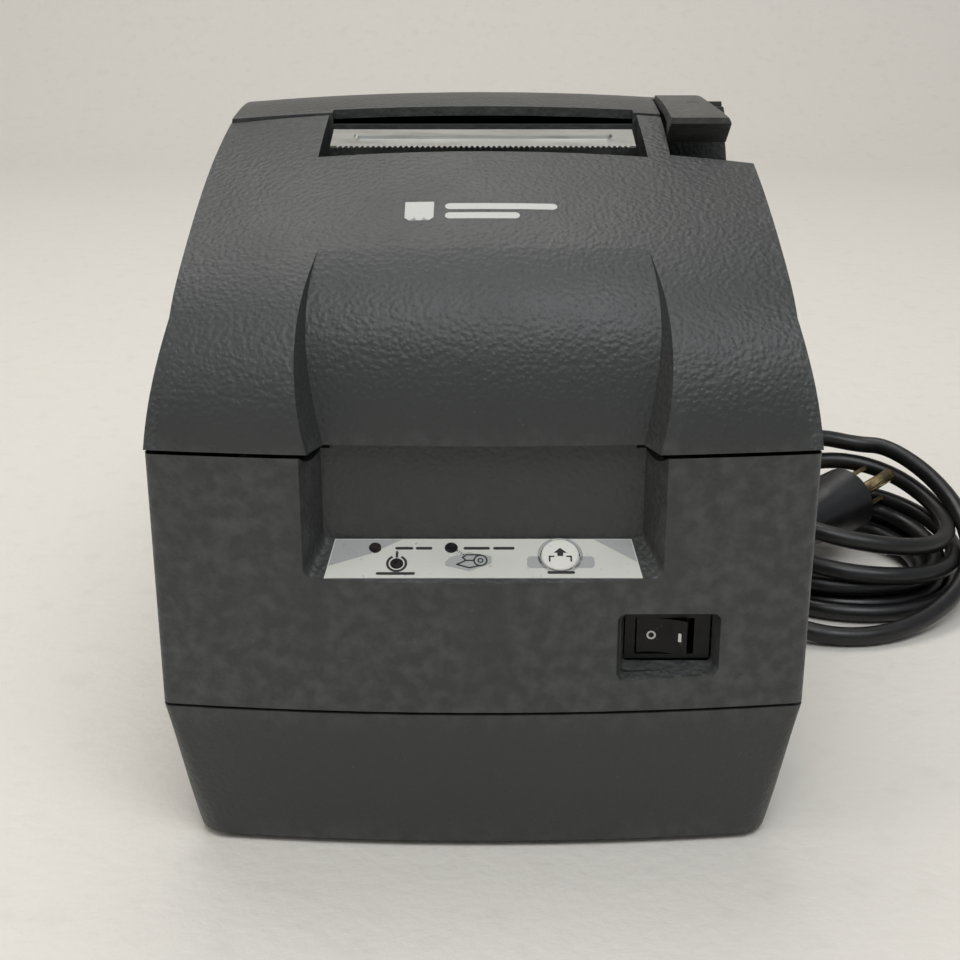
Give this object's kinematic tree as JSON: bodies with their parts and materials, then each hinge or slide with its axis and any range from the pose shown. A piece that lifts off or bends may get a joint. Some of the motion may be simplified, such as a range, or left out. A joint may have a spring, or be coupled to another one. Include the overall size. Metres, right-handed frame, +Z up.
{
  "type": "receipt printer",
  "caption": "Compact impact receipt printer with swing-down front cover, lift-up roll cover, opening lever, sloped operating panel and a power base with mains cord.",
  "frame": {"origin": "middle of the printer's footprint, on the surface that it stands on", "axes": "+Z up, the front faces -Y, +X to the viewer's right"},
  "size_m": [0.256, 0.3136, 0.1772],
  "materials": {
    "case_plastic": "fine leather grain",
    "lever_plastic": "satin",
    "black_plastic": "semi-gloss",
    "inner_plastic": "matt",
    "foot_rubber": "matt",
    "roller_rubber": "ground",
    "cable_jacket": "semi-gloss",
    "sheet_steel": "zinc plated",
    "bright_steel": "ground",
    "stainless_sheet": "rolled",
    "screw_steel": "plated",
    "head_aluminium": "die cast",
    "brass_pins": "worn plating",
    "board_laminate": "solder mask",
    "gear_acetal": "moulded",
    "label_film": "printed film",
    "lens_plastic": "smoked",
    "button_plastic": "satin",
    "ribbon_fabric": "inked",
    "belt_rubber": "toothed"
  },
  "bodies": {
    "housing": {"base_tray": "case_plastic", "base_feet": "foot_rubber", "base_screws": "screw_steel", "power_brick": "inner_plastic", "power_inlet": "black_plastic", "lower_case": "case_plastic", "chassis_plate": "sheet_steel", "main_board": "board_laminate", "switch_housing": "black_plastic", "panel_label": "label_film", "indicator_lenses": "lens_plastic", "panel_board": "board_laminate", "interface_plate": "sheet_steel", "interface_ports": "black_plastic", "interface_screws": "screw_steel", "upper_case": "case_plastic", "roll_cover_pins": "bright_steel", "roll_bucket": "inner_plastic", "front_hinge_pins": "bright_steel", "mechanism_frame": "sheet_steel", "guide_shaft": "bright_steel", "platen_bar": "roller_rubber", "drive_belt": "belt_rubber", "carriage_motor": "sheet_steel", "idler_post": "bright_steel", "feed_motor": "sheet_steel", "tear_bar": "stainless_sheet", "cutter_frame": "sheet_steel", "ribbon_cassette": "inner_plastic", "ribbon_band": "ribbon_fabric", "cord_connector": "cable_jacket", "mains_cord": "cable_jacket", "cord_coil": "cable_jacket", "mains_plug": "cable_jacket", "plug_prongs": "brass_pins"},
    "front_cover": {"front_cover": "case_plastic"},
    "roll_cover": {"roll_cover": "case_plastic", "lever_pin": "bright_steel", "pinch_bracket": "inner_plastic"},
    "open_lever": {"open_lever": "lever_plastic"},
    "power_rocker": {"power_rocker": "black_plastic"},
    "feed_button": {"feed_button": "button_plastic"},
    "carriage": {"carriage": "inner_plastic", "print_head": "head_aluminium"},
    "drive_pulley": {"drive_pulley": "gear_acetal", "motor_shaft": "bright_steel"},
    "idler_pulley": {"idler_pulley": "gear_acetal"},
    "feed_roller": {"feed_roller": "roller_rubber", "feed_gear": "gear_acetal"},
    "motor_pinion": {"motor_pinion": "gear_acetal"},
    "pinch_rollers": {"pinch_rollers": "roller_rubber"},
    "ribbon_knob": {"ribbon_knob": "gear_acetal"},
    "cutter_blade": {"cutter_blade": "bright_steel"},
    "near_end_lever": {"near_end_lever": "inner_plastic"}
  },
  "joints": [
    {"name": "front_cover_hinge", "type": "hinge", "parent": "housing", "child": "front_cover", "pos_m": [0, -0.1165, 0.112], "axis": [1, 0, 0], "range_deg": [0, 85]},
    {"name": "roll_cover_hinge", "type": "hinge", "parent": "housing", "child": "roll_cover", "pos_m": [0, 0.109, 0.1405], "axis": [-1, 0, 0], "range_deg": [0, 100]},
    {"name": "lever_lift", "type": "hinge", "parent": "roll_cover", "child": "open_lever", "pos_m": [0.058, -0.0042, 0.174], "axis": [-1, 0, 0], "range_deg": [0, 25]},
    {"name": "rocker_tilt", "type": "hinge", "parent": "housing", "child": "power_rocker", "pos_m": [0.0448, -0.1133, 0.0577], "axis": [0, 0, 1], "range_deg": [0, 22]},
    {"name": "feed_press", "type": "slide", "parent": "housing", "child": "feed_button", "axis": [0, 0.5028, -0.8644], "range_m": [0, 0.0009], "stiffness_N_per_m": 300},
    {"name": "carriage_travel", "type": "slide", "parent": "housing", "child": "carriage", "axis": [1, 0, 0], "range_m": [-0.03, 0.03]},
    {"name": "drive_pulley_spin", "type": "hinge", "parent": "housing", "child": "drive_pulley", "pos_m": [-0.04, -0.099, 0.097], "axis": [0, 0, 1], "range_deg": [-350, 350]},
    {"name": "idler_pulley_spin", "type": "hinge", "parent": "housing", "child": "idler_pulley", "pos_m": [0.04, -0.099, 0.097], "axis": [0, 0, 1], "range_deg": [-350, 350]},
    {"name": "feed_roller_spin", "type": "hinge", "parent": "housing", "child": "feed_roller", "pos_m": [0, -0.011, 0.136], "axis": [1, 0, 0], "continuous": true},
    {"name": "motor_pinion_spin", "type": "hinge", "parent": "housing", "child": "motor_pinion", "pos_m": [0.06, -0.011, 0.11175], "axis": [1, 0, 0], "continuous": true},
    {"name": "pinch_roller_spin", "type": "hinge", "parent": "roll_cover", "child": "pinch_rollers", "pos_m": [0, -0.011, 0.1463], "axis": [1, 0, 0], "continuous": true},
    {"name": "ribbon_knob_spin", "type": "hinge", "parent": "housing", "child": "ribbon_knob", "pos_m": [-0.038, -0.084, 0.136], "axis": [0, 0, 1], "continuous": true},
    {"name": "cutter_stroke", "type": "slide", "parent": "housing", "child": "cutter_blade", "axis": [0, -1, 0], "range_m": [0, 0.0045]},
    {"name": "near_end_swing", "type": "hinge", "parent": "housing", "child": "near_end_lever", "pos_m": [0.0478, 0.0515, 0.074], "axis": [0, 1, 0], "range_deg": [0, 12]}
  ],
  "couplings": [
    {"joint": "drive_pulley_spin", "follows": "carriage_travel", "rad_per_m": -200},
    {"joint": "idler_pulley_spin", "follows": "carriage_travel", "rad_per_m": -200},
    {"joint": "motor_pinion_spin", "follows": "feed_roller_spin", "ratio": -3},
    {"joint": "pinch_roller_spin", "follows": "feed_roller_spin", "ratio": -1.5}
  ]
}
